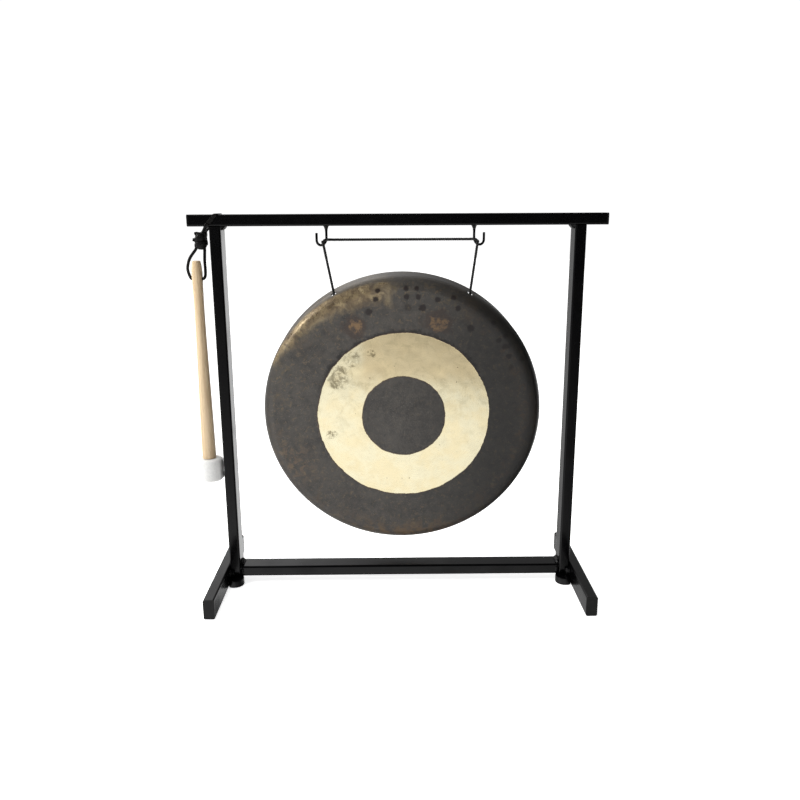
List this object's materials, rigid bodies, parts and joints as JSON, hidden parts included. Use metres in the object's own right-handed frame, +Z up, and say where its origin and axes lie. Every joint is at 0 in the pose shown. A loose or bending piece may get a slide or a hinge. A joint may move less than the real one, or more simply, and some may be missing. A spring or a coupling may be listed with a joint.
{
  "type": "table tam tam gong with stand and mallet",
  "caption": "Shallow bronze gong slung on a cord from hooks under the bar of a welded black tube stand, with a felt-headed wooden mallet hung on a lace from the bar's end.",
  "frame": {"origin": "on the floor, under the middle of the whole object's bounding box", "axes": "+X to the right seen from the striking side, +Y away from the player, +Z up"},
  "size_m": [0.4414, 0.165, 0.4113],
  "materials": {
    "black_paint": "gloss black paint on steel tube",
    "black_plastic": "satin black moulded plastic",
    "bronze": "dark fire-scaled bronze with a scraped, polished ring",
    "cord": "black twisted cord",
    "lace": "black leather lace",
    "handle_wood": "pale turned maple, lightly lacquered",
    "core_wood": "plain turned wood",
    "felt": "dense white wool felt"
  },
  "bodies": {
    "stand": {"top_bar": "black_paint", "top_bar_cap_left": "black_plastic", "top_bar_cap_right": "black_plastic", "upright_left": "black_paint", "upright_right": "black_paint", "lower_rail": "black_paint", "foot_left": "black_paint", "foot_right": "black_paint", "foot_cap_left_front": "black_plastic", "foot_cap_left_rear": "black_plastic", "foot_cap_right_front": "black_plastic", "foot_cap_right_rear": "black_plastic", "corner_glide_left": "black_paint", "corner_glide_right": "black_paint", "bar_weld_left": "black_paint", "bar_weld_right": "black_paint", "rail_weld_left": "black_paint", "rail_weld_right": "black_paint", "rail_front_weld_left": "black_paint", "rail_front_weld_right": "black_paint", "foot_weld_left": "black_paint", "foot_weld_right": "black_paint", "hook_left": "black_paint", "hook_right": "black_paint", "hook_weld_left": "black_paint", "hook_weld_right": "black_paint", "cord_top_span": "cord", "lace_wrap": "lace"},
    "cord": {"cord_strand_left": "cord", "cord_strand_right": "cord", "cord_back_span": "cord", "cord_knot": "cord"},
    "gong": {"gong": "bronze"},
    "lace": {"lace_knot": "lace"},
    "loop": {"mallet_loop": "lace"},
    "mallet": {"mallet_handle": "handle_wood", "mallet_core": "core_wood", "mallet_felt": "felt"}
  },
  "joints": [
    {"name": "cord_swing", "type": "hinge", "parent": "stand", "child": "cord", "pos_m": [0.0074, 0.0085, 0.3783], "axis": [1, 0, 0], "range_deg": [-30, 30]},
    {"name": "gong_tilt", "type": "hinge", "parent": "cord", "child": "gong", "pos_m": [0.0088, 0.00367, 0.32689], "axis": [1, 0, 0], "range_deg": [-12, 12]},
    {"name": "lace_swing", "type": "hinge", "parent": "stand", "child": "lace", "pos_m": [-0.199, 0.0085, 0.3967], "axis": [1, 0, 0], "range_deg": [-25, 25]},
    {"name": "loop_swing_out", "type": "hinge", "parent": "lace", "child": "loop", "pos_m": [-0.199, 0.0085, 0.3756], "axis": [0, 1, 0], "range_deg": [0, 15]},
    {"name": "mallet_swing", "type": "hinge", "parent": "loop", "child": "mallet", "pos_m": [-0.2057, 0.0085, 0.3439], "axis": [1, 0, 0], "range_deg": [-30, 30]}
  ]
}
